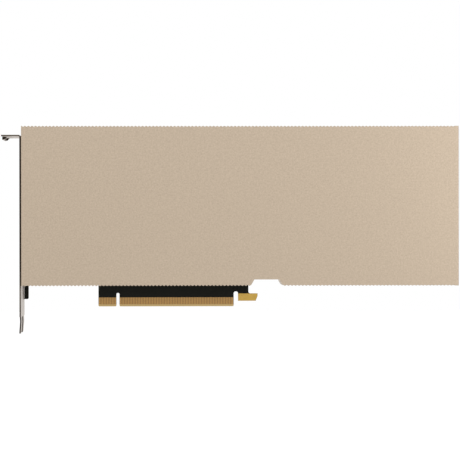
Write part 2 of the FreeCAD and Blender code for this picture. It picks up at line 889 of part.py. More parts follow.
def make_processor():
    """The package: substrate, die, stacked memory beside it, stiffening ring and thermal paste."""
    centre = (processor_x, processor_z)
    slab(make_body("processor_substrate"), half_board, size.substrate_thick,
         centre, substrate_width, substrate_width)
    slab(make_body("processor_die"), substrate_top, size.die_thick, centre, size.die_width, size.die_height)
    spread = 2 * size.paste_spread
    slab(make_body("thermal_paste"), die_top, size.paste_thick,
         centre, stacks_across + spread, size.die_height + spread)

    ring = make_body("package_ring")
    sketch = make_sketch(ring, "XZ_Plane", substrate_top)
    opening = substrate_width - 2 * size.ring_width
    centred_rectangle(sketch, centre, substrate_width, substrate_width)
    centred_rectangle(sketch, centre, opening, opening)
    pad(ring, sketch, size.die_thick)

    stacks = make_body("memory_stacks")
    across = stacks_across - size.stack_width
    first = (processor_x - across / 2, processor_z - size.stack_pitch)
    sketch = make_sketch(stacks, "XZ_Plane", substrate_top)
    centred_rectangle(sketch, first, size.stack_width, size.stack_height)
    stack = pad(stacks, sketch, size.die_thick)
    repeat(stacks, [stack], sketch, ("V_Axis", 3, size.stack_pitch), ("H_Axis", 2, across))


def slab(body, lift, thick, centre, width, height):
    """A flat rectangular block on the component side."""
    sketch = make_sketch(body, "XZ_Plane", lift)
    centred_rectangle(sketch, centre, width, height)
    return pad(body, sketch, thick)


def phase_grid(label, lift, tall, left, span, width, height):
    """Two columns of like blocks, one part to each phase of the supply."""
    body = make_body(label)
    sketch = make_sketch(body, "XZ_Plane", lift)
    low = phase_low - height / 2
    rectangle(sketch, left, low, left + width, low + height)
    block = pad(body, sketch, tall)
    repeat(body, [block], sketch, ("V_Axis", size.phase_count, phase_pitch), ("H_Axis", 2, span))


def make_power_parts():
    """What is soldered to the board: inductors, switching stages, capacitors and control chips."""
    inductor_left = size.chamber_left - size.phase_gap - size.inductor_width
    inductor_right = chamber_right + size.phase_gap
    inductor_span = inductor_right - inductor_left
    phase_grid("power_inductors", half_board, size.inductor_tall, inductor_left, inductor_span,
               size.inductor_width, size.inductor_height)
    pad_start = half_board + size.inductor_tall
    phase_grid("inductor_pads", pad_start, base_under - pad_start, inductor_left, inductor_span,
               size.inductor_width, size.inductor_height)
    stage_left = inductor_left - size.stage_gap - size.stage_width
    stage_right = inductor_right + size.inductor_width + size.stage_gap
    phase_grid("power_stages", half_board, size.stage_tall, stage_left, stage_right - stage_left,
               size.stage_width, size.stage_height)
    output_right = processor_x + post_across / 2 + size.post_radius + size.output_gap
    output_left = 2 * processor_x - output_right - size.output_width
    phase_grid("output_capacitors", half_board, size.output_tall, output_left,
               output_right - output_left, size.output_width, size.output_height)

    inputs = make_body("input_capacitors")
    input_x = stage_right + size.stage_width + size.input_gap + size.input_width / 2
    sketch = make_sketch(inputs, "XZ_Plane", half_board)
    centred_rectangle(sketch, (input_x, phase_low), size.input_width, size.input_height)
    block = pad(inputs, sketch, size.input_tall)
    repeat(inputs, [block], sketch, ("V_Axis", size.input_count, size.input_pitch))

    chips = make_body("control_chips")
    sketch = make_sketch(chips, "XZ_Plane", half_board)
    centred_rectangle(sketch, (-size.chip_left, phase_low), size.chip_width, size.chip_height)
    chip = pad(chips, sketch, size.chip_tall)
    repeat(chips, [chip], sketch, ("V_Axis", size.chip_rows, 2 * phase_pitch),
           ("H_Axis", size.chip_columns, size.chip_pitch))


def make_heat_sink():
    """Vapour chamber on the processor, a base that rests on the frame, and fins that run with the air."""
    chamber = make_body("vapour_chamber")
    chamber_low = rail_inner_low + size.chamber_margin
    chamber_high = rail_inner_high - size.chamber_margin
    sketch = make_sketch(chamber, "XZ_Plane", chamber_under)
    rectangle(sketch, size.chamber_left, chamber_low, chamber_right, chamber_high)
    pad(chamber, sketch, size.chamber_thick)
    corners = [
        (size.chamber_left, chamber_low),
        (chamber_right, chamber_low),
        (chamber_right, chamber_high),
        (size.chamber_left, chamber_high),
    ]
    round_edges(chamber, size.chamber_round, ALONG_Y, level_places(corners))

    base = make_body("fin_base")
    base_low = rail_inner_low - size.base_lap_low
    base_high = rail_inner_high + size.base_lap_high
    sketch = make_sketch(base, "XZ_Plane", base_under)
    rectangle(sketch, -size.base_left, base_low, base_right, base_high)
    pad(base, sketch, size.base_thick)

    fins = make_body("cooling_fins")
    first = base_low + size.fin_margin
    sketch = make_sketch(fins, "XY_Plane", first)
    side = [
        (-size.fin_left, -base_top),
        (base_right, -base_top),
        (base_right, -fin_step),
        (fin_right, -fin_step),
        (fin_right, -fin_top),
        (-size.fin_left, -fin_top),
    ]
    polygon(sketch, side)
    fin = pad(fins, sketch, size.fin_thick)
    room = base_high - base_low - 2 * size.fin_margin - size.fin_thick
    count = (room / size.fin_pitch).whole() + 1
    repeat(fins, [fin], sketch, ("N_Axis", count, size.fin_pitch))


def make_posts():
    """The four posts under the vapour chamber and the sprung screws that pull on them from the back."""
    posts = make_body("heat_sink_posts")
    sketch = make_sketch(posts, "XZ_Plane", half_board)
    flats(sketch, post_corner(), size.post_radius, POST_FLATS)
    post = pad(posts, sketch, chamber_under - half_board)
    hole_sketch = make_sketch(posts, "XZ_Plane", half_board)
    flats(hole_sketch, post_corner(), size.spring_screw_radius + size.screw_room, HIDDEN_FLATS)
    hole = pocket(posts, hole_sketch, chamber_under - half_board, outwards=True)
    repeat(posts, [post, hole], sketch, ("H_Axis", 2, post_across), ("V_Axis", 2, post_up))

    screws = make_body("spring_screws")
    head_sketch = make_sketch(screws, "XZ_Plane", spring_under - size.spring_screw_rise)
    flats(head_sketch, post_corner(), size.spring_screw_head, SHOWN_FLATS)
    head = pad(screws, head_sketch, size.spring_screw_rise)
    shank_sketch = make_sketch(screws, "XZ_Plane", spring_under)
    flats(shank_sketch, post_corner(), size.spring_screw_radius, HIDDEN_FLATS)
    shank = pad(screws, shank_sketch, chamber_under - size.spring_screw_spare - spring_under)
    repeat(screws, [head, shank], head_sketch, ("H_Axis", 2, post_across), ("V_Axis", 2, post_up))


def make_spring_plate():
    """The sprung ring behind the processor that the four screws pull against."""
    body = make_body("spring_plate")
    centre = (processor_x, processor_z)
    sketch = make_sketch(body, "XZ_Plane", spring_under)
    centred_rectangle(sketch, centre, post_across + size.spring_arm, post_up + size.spring_arm)
    centred_rectangle(sketch, centre, post_across - size.spring_arm, post_up - size.spring_arm)
    pad(body, sketch, size.spring_thick)
    cut_post_holes(body, film_under, size.spring_thick, size.spring_screw_radius)


def make_back_cover():
    """The back cover on its bosses, the film that insulates it and the screws that hold it."""
    film = make_body("insulator_film")
    margin = size.film_margin
    sketch = make_sketch(film, "XZ_Plane", film_under)
    rectangle(sketch, margin - size.board_left, rail_inner_low + margin,
              board_right - margin, rail_inner_high - margin)
    pad(film, sketch, size.film_thick)
    cut_post_holes(film, -half_board, size.film_thick, size.spring_screw_radius)

    body = make_body("backplate")
    latch_left = size.neck_right - size.back_latch_room
    latch_right = size.latch_right + size.back_latch_room
    latch_high = size.latch_high + size.back_latch_room
    outline = [
        (-size.back_left, back_low),
        (latch_left, back_low),
        (latch_left, latch_high),
        (latch_right, latch_high),
        (latch_right, back_low),
        (back_right, back_low),
        (back_right, back_high),
        (-size.back_left, back_high),
    ]
    sketch = make_sketch(body, "XZ_Plane", back_under)
    polygon(sketch, outline)
    centre = (processor_x, processor_z)
    reach = size.spring_arm + 2 * size.window_margin
    centred_rectangle(sketch, centre, post_across + reach, post_up + reach)
    pad(body, sketch, size.back_thick)
    corners = [
        (-size.back_left, back_high),
        (back_right, back_low),
        (back_right, back_high),
        (-size.back_left, back_low),
    ]
    round_edges(body, size.back_round, ALONG_Y, level_places(corners))

    screw = (back_screw_first, back_screw_low)
    sketch = make_sketch(body, "XZ_Plane", back_over)
    flats(sketch, screw, size.boss_radius, SHOWN_FLATS)
    boss = pad(body, sketch, size.back_gap)
    repeat(body, [boss], sketch, *back_screw_rows())
    cut_back_screw_holes(body, -half_board, size.back_gap + size.back_thick)
    sketch = make_sketch(body, "XZ_Plane", back_under)
    flats(sketch, screw, size.back_screw_head + size.screw_room, SHOWN_FLATS)
    seat = pocket(body, sketch, size.back_screw_sink, outwards=True)
    repeat(body, [seat], sketch, *back_screw_rows())

    screws = make_body("backplate_screws")
    head_sketch = make_sketch(screws, "XZ_Plane", back_under)
    flats(head_sketch, screw, size.back_screw_head, SHOWN_FLATS)
    head = pad(screws, head_sketch, size.back_screw_sink)
    shank_sketch = make_sketch(screws, "XZ_Plane", back_under + size.back_screw_sink)
    flats(shank_sketch, screw, size.back_screw_radius, HIDDEN_FLATS)
    length = half_board + size.back_screw_bite - back_under - size.back_screw_sink
    shank = pad(screws, shank_sketch, length)
    repeat(screws, [head, shank], head_sketch, *back_screw_rows())


def make_power_socket():
    """The eight-way inlet at the tail end, with the ledge that a plug latches on and its blades."""
    body = make_body("power_socket")
    sketch = make_sketch(body, "YZ_Plane", socket_mouth - size.socket_length)
    rectangle(sketch, -socket_top, socket_low, -half_board, socket_low + socket_width)
    pad(body, sketch, size.socket_length)
    ledge_end = socket_mouth - size.socket_latch_inset
    ledge_start = ledge_end - size.socket_latch_run
    sketch = make_sketch(body, "XY_Plane", socket_low + (socket_width - size.socket_latch_width) / 2)
    ledge = [
        (ledge_start, -socket_top),
        (ledge_end, -socket_top),
        (ledge_start, -socket_top - size.socket_latch_rise),
    ]
    polygon(sketch, ledge)
    pad(body, sketch, size.socket_latch_width)
    inset = size.socket_wall + (size.cell_pitch - size.cell_width) / 2
    low = socket_low + inset
    near = -half_board - inset
    along = ("V_Axis", size.cell_columns, size.cell_pitch)
    across = ("H_Axis", size.cell_rows, size.cell_pitch)
    far = near - (size.cell_rows - 1) * size.cell_pitch
    sketch = make_sketch(body, "YZ_Plane", socket_mouth)
    rectangle(sketch, far - size.cell_width, low, far, low + size.cell_width)
    cell = pocket(body, sketch, size.cell_depth)
    repeat(body, [cell], sketch, along, across)

    pins = make_body("power_pins")
    middle = (far - size.cell_width / 2, low + size.cell_width / 2)
    sketch = make_sketch(pins, "YZ_Plane", socket_mouth - size.cell_depth)
    centred_rectangle(sketch, middle, size.pin_width, size.pin_width)
    pin = pad(pins, sketch, size.pin_length)
    repeat(pins, [pin], sketch, along, across)


def make_io_bracket():
    """The two-slot bracket: one folded sheet with flange, lips, prongs, screw notches and vents."""
    body = make_body("io_bracket")
    front = -(size.bracket_width - size.bracket_back)
    flange_end = bracket_outer - size.flange_reach
    flange_under = size.bracket_high - size.sheet_thick
    lip_low = flange_under - size.lip_drop
    jog = size.prong_jog
    flare = size.prong_flare
    fold = [
        (bracket_outer - flare, size.prong_tip),
        (bracket_inner - flare, size.prong_tip),
        (bracket_inner + jog, size.prong_jog_low),
        (bracket_inner, size.prong_jog_high),
        (bracket_inner, size.bracket_high),
        (flange_end, size.bracket_high),
        (flange_end, lip_low),
        (flange_end + size.sheet_thick, lip_low),
        (flange_end + size.sheet_thick, flange_under),
        (bracket_outer, flange_under),
        (bracket_outer, size.prong_jog_high),
        (bracket_outer + jog, size.prong_jog_low),
    ]
    sketch = make_sketch(body, "XZ_Plane", -size.bracket_back)
    polygon(sketch, fold)
    pad(body, sketch, size.bracket_width)
    outer_round = size.bend_round + size.sheet_thick
    outer_bends = [(bracket_inner, size.bracket_high), (flange_end, size.bracket_high)]
    round_edges(body, outer_round, ALONG_Y, level_places(outer_bends))
    inner_bends = [(bracket_outer, flange_under), (flange_end + size.sheet_thick, flange_under)]
    round_edges(body, size.bend_round, ALONG_Y, level_places(inner_bends))

    cut_prongs(body, front)
    cut_screw_notches(body, flange_end)
    flatten_front_tab(body, front, flange_end, flange_under)
    cut_vents(body)
    sketch = make_sketch(body, "YZ_Plane", bracket_inner)
    hole_radius = size.bracket_screw_radius + size.screw_room
    flats(sketch, (-rail_middle, size.bracket_screw_first), hole_radius, HIDDEN_FLATS)
    hole = pocket(body, sketch, size.sheet_thick)
    repeat(body, [hole], sketch, ("V_Axis", size.bracket_screw_count, size.bracket_screw_pitch))


def cut_prongs(body, front):
    """Leaves two chamfered prongs below the lower edge of the bracket."""
    depth = size.sheet_thick + size.prong_flare + 2 * size.prong_jog
    corner = size.prong_corner
    back = size.bracket_back
    below = size.prong_tip - size.sheet_thick
    first_right = back - (size.prong_first - size.prong_width / 2)
    first_left = first_right - size.prong_width
    second_right = first_right - size.slot_pitch
    second_left = second_right - size.prong_width
    gaps = [
        [(first_right, size.bracket_low), (first_right, size.prong_tip + corner),
         (first_right - corner, below), (back + corner, below), (back + corner, size.bracket_low)],
        [(second_right, size.bracket_low), (second_right, size.prong_tip + corner),
         (second_right - corner, below), (first_left + corner, below),
         (first_left, size.prong_tip + corner), (first_left, size.bracket_low)],
        [(second_left, size.bracket_low), (second_left, size.prong_tip + corner),
         (second_left + corner, below), (front - corner, below), (front - corner, size.bracket_low)],
    ]
    sketch = make_sketch(body, "YZ_Plane", bracket_inner + 2 * size.prong_jog)
    for gap in gaps:
        polygon(sketch, gap)
    pocket(body, sketch, depth + size.sheet_thick)


def cut_screw_notches(body, flange_end):
    """Screw notches in the flange, one to each slot, open at its outer end."""
    radius = size.notch_width / 2
    middle = size.bracket_back - size.notch_first
    sketch = make_sketch(body, "XY_Plane", size.bracket_high)
    outside = flange_end - size.notch_width
    slot(sketch, outside, flange_end + size.notch_deep - radius, middle, radius)
    notch = pocket(body, sketch, size.sheet_thick + size.lip_drop)
    second_sketch = make_sketch(body, "XY_Plane", size.bracket_high)
    slot(second_sketch, outside, flange_end + size.notch_deep - radius, middle - size.slot_pitch, radius)
    return notch, pocket(body, second_sketch, size.sheet_thick + size.lip_drop)


def flatten_front_tab(body, front, flange_end, flange_under):
    """Leaves the flange flat and square in front of the notches, where it has no lip."""
    bend = size.bend_round + size.sheet_thick
    notch_edge = size.bracket_back - size.notch_first - size.slot_pitch - size.notch_width / 2
    sketch = make_sketch(body, "XY_Plane", size.bracket_high)
    rectangle(sketch, flange_end - bend, front - bend, flange_end + bend, notch_edge)
    pocket(body, sketch, size.sheet_thick + size.lip_drop)
    sketch = make_sketch(body, "XY_Plane", flange_under)
    rectangle(sketch, flange_end, front, flange_end + bend, notch_edge)
    pad(body, sketch, size.sheet_thick)


def cut_vents(body):
    """Two columns of slots with pointed ends that let the air out through the bracket."""
    sketch = make_sketch(body, "YZ_Plane", bracket_inner)
    near = -half_board - size.vent_first_lift
    far = size.vent_edge - (size.bracket_width - size.bracket_back)
    column = (near - far + size.vent_gap) / size.vent_columns
    right = far + column - size.vent_gap
    high = size.vent_low + size.vent_height / 2
    low = size.vent_low - size.vent_height / 2
    outline = [
        (far, size.vent_low),
        (far + size.vent_point, low),
        (right - size.vent_point, low),
        (right, size.vent_low),
        (right - size.vent_point, high),
        (far + size.vent_point, high),
    ]
    polygon(sketch, outline)
    vent = pocket(body, sketch, size.sheet_thick)
    repeat(body, [vent], sketch, ("V_Axis", size.vent_rows, size.vent_pitch),
           ("H_Axis", size.vent_columns, column))


def make_bracket_screws():
    """Pan-head screws that hold the bracket to the frame."""
    body = make_body("bracket_screws")
    centre = (-rail_middle, size.bracket_screw_first)
    head_sketch = make_sketch(body, "YZ_Plane", bracket_outer - size.bracket_screw_rise)
    flats(head_sketch, centre, size.bracket_screw_head, SHOWN_FLATS)
    head = pad(body, head_sketch, size.bracket_screw_rise)
    shank_sketch = make_sketch(body, "YZ_Plane", bracket_outer)
    flats(shank_sketch, centre, size.bracket_screw_radius, HIDDEN_FLATS)
    shank = pad(body, shank_sketch, size.sheet_thick + size.bracket_screw_bite)
    along = ("V_Axis", size.bracket_screw_count, size.bracket_screw_pitch)
    repeat(body, [head, shank], head_sketch, along)


def check_document():
    """Stops the build if any object failed or any sub-part has no valid shape."""
    for item in doc.Objects:
        if "Invalid" in item.State or "Error" in item.State:
            raise ValueError(f"{item.Label} failed: {item.State}")
    for body in sub_parts:
        if body.Shape.isNull() or not body.Shape.isValid():
            raise ValueError(f"{body.Label} has no valid shape")


make_circuit_board()
make_edge_contacts("edge_contacts_front", half_board)
make_edge_contacts("edge_contacts_back", -half_board - size.gold_thick)
make_hook_plating()
make_link_contacts()
make_link_caps()
make_front_shroud()
make_shroud_screws()
make_board_frame()
make_processor()
make_power_parts()
make_heat_sink()
make_posts()
make_spring_plate()
make_back_cover()
make_power_socket()
make_io_bracket()
make_bracket_screws()
doc.recompute()
check_document()

os.makedirs("parts", exist_ok=True)
for body in sub_parts:
    body.Shape.exportStep(f"parts/{body.Label}.step")
    print(body.Label, len(body.Shape.Solids), round(body.Shape.Volume, 2))
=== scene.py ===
"""Looks of a two-slot, passively cooled accelerator card, laid out as an add-on and run as a script.

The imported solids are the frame: metres, X along the card to its tail, Z up from the contact tips, and the
component side facing -Y. Solids that are right stay and get their finish. Folded, milled and moulded pieces
are copied and get broken edges, the bracket's lips get small webs, and the plain screws become screws with
a recess.
"""

import bmesh
import bpy
import math
from bpy.props import FloatProperty, FloatVectorProperty, IntProperty, PointerProperty
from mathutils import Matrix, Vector


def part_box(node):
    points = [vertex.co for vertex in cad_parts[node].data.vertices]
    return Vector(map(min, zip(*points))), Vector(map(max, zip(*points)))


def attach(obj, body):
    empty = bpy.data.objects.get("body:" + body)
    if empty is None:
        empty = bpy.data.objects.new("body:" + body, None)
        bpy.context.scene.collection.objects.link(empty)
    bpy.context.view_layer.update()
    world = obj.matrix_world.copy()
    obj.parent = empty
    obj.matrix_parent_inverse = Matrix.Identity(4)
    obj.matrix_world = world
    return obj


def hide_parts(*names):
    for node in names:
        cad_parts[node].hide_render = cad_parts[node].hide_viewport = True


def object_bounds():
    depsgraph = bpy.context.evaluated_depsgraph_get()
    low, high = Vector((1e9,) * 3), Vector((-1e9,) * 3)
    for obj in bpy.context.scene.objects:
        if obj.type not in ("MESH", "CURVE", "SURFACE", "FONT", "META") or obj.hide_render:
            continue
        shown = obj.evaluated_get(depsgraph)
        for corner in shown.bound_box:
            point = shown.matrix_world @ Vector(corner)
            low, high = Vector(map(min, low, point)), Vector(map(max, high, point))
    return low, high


bl_info = {
    "name": "Accelerator Card Looks",
    "version": (1, 0, 0),
    "blender": (4, 5, 0),
    "location": "3D View > Sidebar > Card",
    "description": "Finishes the packed solids of an accelerator card and sets the stage for them",
    "category": "Object",
}

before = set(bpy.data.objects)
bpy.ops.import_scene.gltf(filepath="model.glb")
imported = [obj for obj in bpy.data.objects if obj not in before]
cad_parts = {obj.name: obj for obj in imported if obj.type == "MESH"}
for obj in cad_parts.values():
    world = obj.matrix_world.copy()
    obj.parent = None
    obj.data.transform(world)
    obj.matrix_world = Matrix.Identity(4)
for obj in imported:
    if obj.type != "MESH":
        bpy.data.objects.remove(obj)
cad_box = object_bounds()
MM = 0.001


def linear(hex_colour):
    """A colour written as sRGB hex, as the linear red, green and blue that Blender works in."""
    channels = []
    for start in (1, 3, 5):
        level = int(hex_colour[start:start + 2], 16) / 255
        channels.append(level / 12.92 if level <= 0.04045 else ((level + 0.055) / 1.055) ** 2.4)
    return tuple(channels)


def colour(name, description, hex_colour):
    """A colour property of the card."""
    return FloatVectorProperty(name=name, description=description, subtype="COLOR", size=3, min=0, max=1,
                               default=linear(hex_colour))


def length(name, description, millimetres):
    """A length property of the card or the stage."""
    return FloatProperty(name=name, description=description, unit="LENGTH", min=0, default=millimetres * MM)


def angle(name, description, degrees):
    """A small angle of the stage."""
    return FloatProperty(name=name, description=description, subtype="ANGLE", default=math.radians(degrees))


def power(name, description, watts):
    """The power of one lamp of the stage."""
    return FloatProperty(name=name, description=description, unit="POWER", default=watts)


class CardSizes(bpy.types.PropertyGroup):
    """Sizes of the fine detail that the solids leave out."""

    shroud_break: length("Shroud edge", "Width of the broken edges of the fluted shroud", 0.16)
    bracket_break: length("Bracket edge", "Width of the broken edges of the folded bracket", 0.1)
    web_reach: length("Lip web", "Reach of the webs that stiffen the bracket's lips", 2.4)
    web_foot: length("Lip web foot", "Reach of those webs at their lower end", 0.7)
    web_drop: length("Lip web drop", "Height of those webs under the flange", 1.4)
    web_thick: length("Lip web thickness", "Thickness of those webs", 0.7)
    cover_break: length("Cover edge", "Width of the broken edges of the back cover", 0.25)
    moulded_break: length("Moulded edge", "Width of the rounded edges of moulded plastic", 0.25)
    head_break: length("Screw edge", "Width of the rounded rim of a screw head", 0.2)
    recess_width: length("Recess width", "Width of one arm of the cross recess in a screw", 0.55)
    recess_share: FloatProperty(name="Recess share",
                                description="Length of the recess as a share of the head",
                                subtype="FACTOR", min=0.1, max=0.9, default=0.62)
    recess_depth: length("Recess depth", "Depth of the cross recess in a screw", 0.45)
    head_corners: IntProperty(name="Head corners", description="Sides of a turned screw head",
                              min=12, max=64, default=36)


class CardColours(bpy.types.PropertyGroup):
    """Colours of the card's finishes."""

    champagne: colour("Champagne", "Dyed anodising of the shroud", "#B6A693")
    mask: colour("Solder mask", "Black mask on both faces of the board", "#1A1B17")
    laminate: colour("Laminate", "Glass-epoxy where the board is milled or bare of mask", "#614C3C")
    bevel: colour("Bevelled laminate", "Thin glass-epoxy at the tip of the edge tongue", "#DABD83")
    hard_gold: colour("Hard gold", "Cobalt-hardened plating of the edge contacts", "#B08B57")
    soft_gold: colour("Soft gold", "Immersion plating of the retention hook", "#BC9B50")
    nickel: colour("Nickel", "Plating of the bracket", "#B0A498")
    # Two tones of the bracket's cut edge: the first is bare dull steel painted darker as shade, the second
    # is the same edge painted lighter where light falls on it.
    sheared: colour("Sheared steel", "Bare cut edge of the bracket's sheet, painted dark as shade", "#2E2823")
    lit_cut_edge: colour("Cut edge, painted light", "Cut edge painted lighter where light reaches it", "#564E44")
    black_anodising: colour("Black anodising", "Dyed anodising of the back cover and the frame", "#1E1E20")
    black_nylon: colour("Black nylon", "Moulded caps and power inlet", "#161618")
    zinc: colour("Zinc", "Plating of the screws", "#A9AAAC")
    spring: colour("Spring steel", "Rolled sheet of the spring plate", "#B4B4B6")
    aluminium: colour("Aluminium", "Bare fins and fin base", "#D9DADC")
    copper: colour("Copper", "Bare vapour chamber", "#C98F6A")


class StageSizes(bpy.types.PropertyGroup):
    """Places and levels of the floor, the lamps and the camera."""

    camera_x: length("Camera along", "Where the camera stands along the card", 30.7)
    camera_z: length("Camera height", "Height of the camera over the contact tips", 50.2)
    camera_away: length("Camera distance", "From the shroud's face to the camera", 1500)
    camera_turn: angle("Camera turn", "Turn of the camera from straight ahead towards the tail end", 1.464)
    camera_dip: angle("Camera dip", "How far the camera looks down", 0.1)
    camera_roll: angle("Camera roll", "How far the camera leans over", 0.067)
    focal_pixels: FloatProperty(name="Focal length in pixels", description="Camera distance of one pixel",
                                default=2459.3)
    image_pixels: IntProperty(name="Image side", description="Side of the square picture in pixels",
                              default=460)
    floor_drop: length("Floor drop", "From the lowest point of the card to the floor", 145)
    floor_side: length("Floor side", "Side of the square floor", 9000)
    floor_glow: FloatProperty(name="Floor glow",
                              description="What the sky's light on the floor lacks to white",
                              subtype="FACTOR", min=0, max=1, default=0.45)
    key_watts: power("Key lamp", "Power of the soft lamp at the tail end", 0.34)
    fill_watts: power("Fill lamp", "Power of the soft lamp above the line of sight", 0.88)
    top_watts: power("Top lamp", "Power of the soft lamp overhead", 1.5)
    sky_level: FloatProperty(name="Sky level", description="Light that the surroundings throw on the card",
                             subtype="FACTOR", min=0, max=1, default=0.65)


# Materials

# Sockets of a colour mix, by their places, because a mix node has several of each name.
MIX_SHARE = 0
MIX_A = 6
MIX_B = 7
MIX_RESULT = 2

# Where the board's look changes: the top of the bevel, the top of the bare field round the contacts, and
# the end of the edge tongue. A face whose normal has less of Y than the last share is milled.
BEVEL_TOP = 1.3 * MM
BARE_TOP = 5.6 * MM
TONGUE_END = -20 * MM
MILLED_BELOW = 0.97

# Heights between which the bracket's cut edge changes from painted shade to painted light: into the flange,
# down past the shroud, and up from the prongs. A face whose normal has more of Y than the last share is a
# cut edge.
FLANGE_HEIGHTS = {"From Min": 104.6 * MM, "From Max": 105 * MM}
BELOW_SHROUD_HEIGHTS = {"From Min": 25 * MM, "From Max": 10 * MM}
OVER_PRONGS_HEIGHTS = {"From Min": -6 * MM, "From Max": 8 * MM}
SHEARED_ABOVE = 0.5


def add_node(tree, kind, values=None, links=None, **settings):
    """Adds a node with its settings, its socket values and the sockets that feed it."""
    node = tree.nodes.new(kind)
    for name, setting in settings.items():
        setattr(node, name, setting)
    for socket, number in (values or {}).items():
        node.inputs[socket].default_value = number
    for socket, source in (links or {}).items():
        tree.links.new(source, node.inputs[socket])
    return node


def new_material(name, base, metallic, roughness, ior=None, gloss=None):
    """A material with one plain shader, and the tree and shader to work on."""
    material = bpy.data.materials.new(name)
    material.use_nodes = True
    material.diffuse_color = (*base, 1)
    tree = material.node_tree
    shader = tree.nodes["Principled BSDF"]
    shader.inputs["Base Color"].default_value = (*base, 1)
    shader.inputs["Metallic"].default_value = metallic
    shader.inputs["Roughness"].default_value = roughness
    if ior is not None:
        shader.inputs["IOR"].default_value = ior
    if gloss is not None:
        shader.inputs["Specular IOR Level"].default_value = gloss
    return material, tree, shader


def shade(base, share):
    """A colour made lighter or darker by a share of itself."""
    return (*[min(1, channel * share) for channel in base], 1)


def speckle(tree, shader, base, grain_mm, spread, depth_mm, stretch=(1, 1, 1)):
    """Grain of one real size: a spread of tone and gloss about the material's own, and a relief.

    Its lighter spots are the smoother ones. Returns the node that gives the tone.
    """
    place = add_node(tree, "ShaderNodeTexCoord")
    mapping = add_node(tree, "ShaderNodeMapping", {"Scale": stretch}, {"Vector": place.outputs["Object"]})
    noise = add_node(tree, "ShaderNodeTexNoise",
                     {"Scale": 1 / (grain_mm * MM), "Detail": 3, "Roughness": 0.6},
                     {"Vector": mapping.outputs["Vector"]})
    tone = add_node(tree, "ShaderNodeMix", {MIX_A: shade(base, 1 - spread), MIX_B: shade(base, 1 + spread)},
                    {MIX_SHARE: noise.outputs["Fac"]}, data_type="RGBA")
    bump = add_node(tree, "ShaderNodeBump", {"Strength": 1, "Distance": depth_mm * MM},
                    {"Height": noise.outputs["Fac"]})
    roughness = shader.inputs["Roughness"].default_value
    polish = add_node(tree, "ShaderNodeMapRange",
                      {"To Min": roughness * (1 + spread), "To Max": roughness * (1 - spread)},
                      {"Value": noise.outputs["Fac"]})
    tree.links.new(tone.outputs[MIX_RESULT], shader.inputs["Base Color"])
    tree.links.new(polish.outputs["Result"], shader.inputs["Roughness"])
    tree.links.new(bump.outputs["Normal"], shader.inputs["Normal"])
    return tone


def champagne_aluminium(colours):
    """Aluminium, bead-blasted and dyed in the anodising bath."""
    # The blasting breaks every reflection into an even satin. Its pits are about 0.1 mm wide and are drawn
    # at 0.9 mm, so that the faint sparkle of the face still shows in a small picture.
    base = colours.champagne
    material, tree, shader = new_material("Anodised aluminium, bead-blasted champagne", base, 1.0, 0.38)
    speckle(tree, shader, base, 0.9, 0.25, 0.006)
    return material


def board_laminate(colours):
    """Glass-epoxy laminate under a black solder mask."""
    # The mask is a soft matte black. Where the outline was milled, and between the contacts, where the mask
    # is left open, the brown glass-epoxy shows. The thin bevel at the tip of the tongue lets light through
    # and looks pale.
    base = colours.mask
    material, tree, shader = new_material("Glass-epoxy laminate, black solder mask", base, 0.0, 0.55,
                                          1.5, 0.1)
    tone = speckle(tree, shader, base, 1.2, 0.12, 0.004)
    place = add_node(tree, "ShaderNodeTexCoord")
    facing = add_node(tree, "ShaderNodeSeparateXYZ", links={"Vector": place.outputs["Normal"]})
    turned = add_node(tree, "ShaderNodeMath", links={0: facing.outputs["Y"]}, operation="ABSOLUTE")
    cut = add_node(tree, "ShaderNodeMath", {1: MILLED_BELOW}, {0: turned.outputs["Value"]},
                   operation="LESS_THAN")
    spot = add_node(tree, "ShaderNodeSeparateXYZ", links={"Vector": place.outputs["Object"]})
    tip = add_node(tree, "ShaderNodeMath", {1: BEVEL_TOP}, {0: spot.outputs["Z"]}, operation="LESS_THAN")
    low = add_node(tree, "ShaderNodeMath", {1: BARE_TOP}, {0: spot.outputs["Z"]}, operation="LESS_THAN")
    tongue = add_node(tree, "ShaderNodeMath", {1: TONGUE_END}, {0: spot.outputs["X"]},
                      operation="GREATER_THAN")
    opened = add_node(tree, "ShaderNodeMath", links={0: low.outputs["Value"], 1: tongue.outputs["Value"]},
                      operation="MULTIPLY")
    bare = add_node(tree, "ShaderNodeMath", links={0: cut.outputs["Value"], 1: opened.outputs["Value"]},
                    operation="MAXIMUM")
    milled = add_node(tree, "ShaderNodeMix", {MIX_A: (*colours.laminate, 1), MIX_B: (*colours.bevel, 1)},
                      {MIX_SHARE: tip.outputs["Value"]}, data_type="RGBA")
    skin = add_node(tree, "ShaderNodeMix",
                    links={MIX_SHARE: bare.outputs["Value"], MIX_A: tone.outputs[MIX_RESULT],
                           MIX_B: milled.outputs[MIX_RESULT]}, data_type="RGBA")
    tree.links.new(skin.outputs[MIX_RESULT], shader.inputs["Base Color"])
    return material


def hard_gold(colours):
    """Gold hardened with cobalt, electroplated over nickel."""
    # Thin plating follows the copper under it, so it has a soft gloss with faint cloudy patches. The cobalt
    # makes it browner than soft gold.
    base = colours.hard_gold
    material, tree, shader = new_material("Hard gold plate over nickel", base, 1.0, 0.34)
    speckle(tree, shader, base, 1.5, 0.1, 0.002)
    return material


def soft_gold(colours):
    """Pure gold, from an immersion bath over nickel."""
    # A yellower gold with the same soft gloss, a little uneven where the bath left it thinner.
    base = colours.soft_gold
    material, tree, shader = new_material("Immersion gold over nickel", base, 1.0, 0.34)
    speckle(tree, shader, base, 2.5, 0.12, 0.002)
    return material


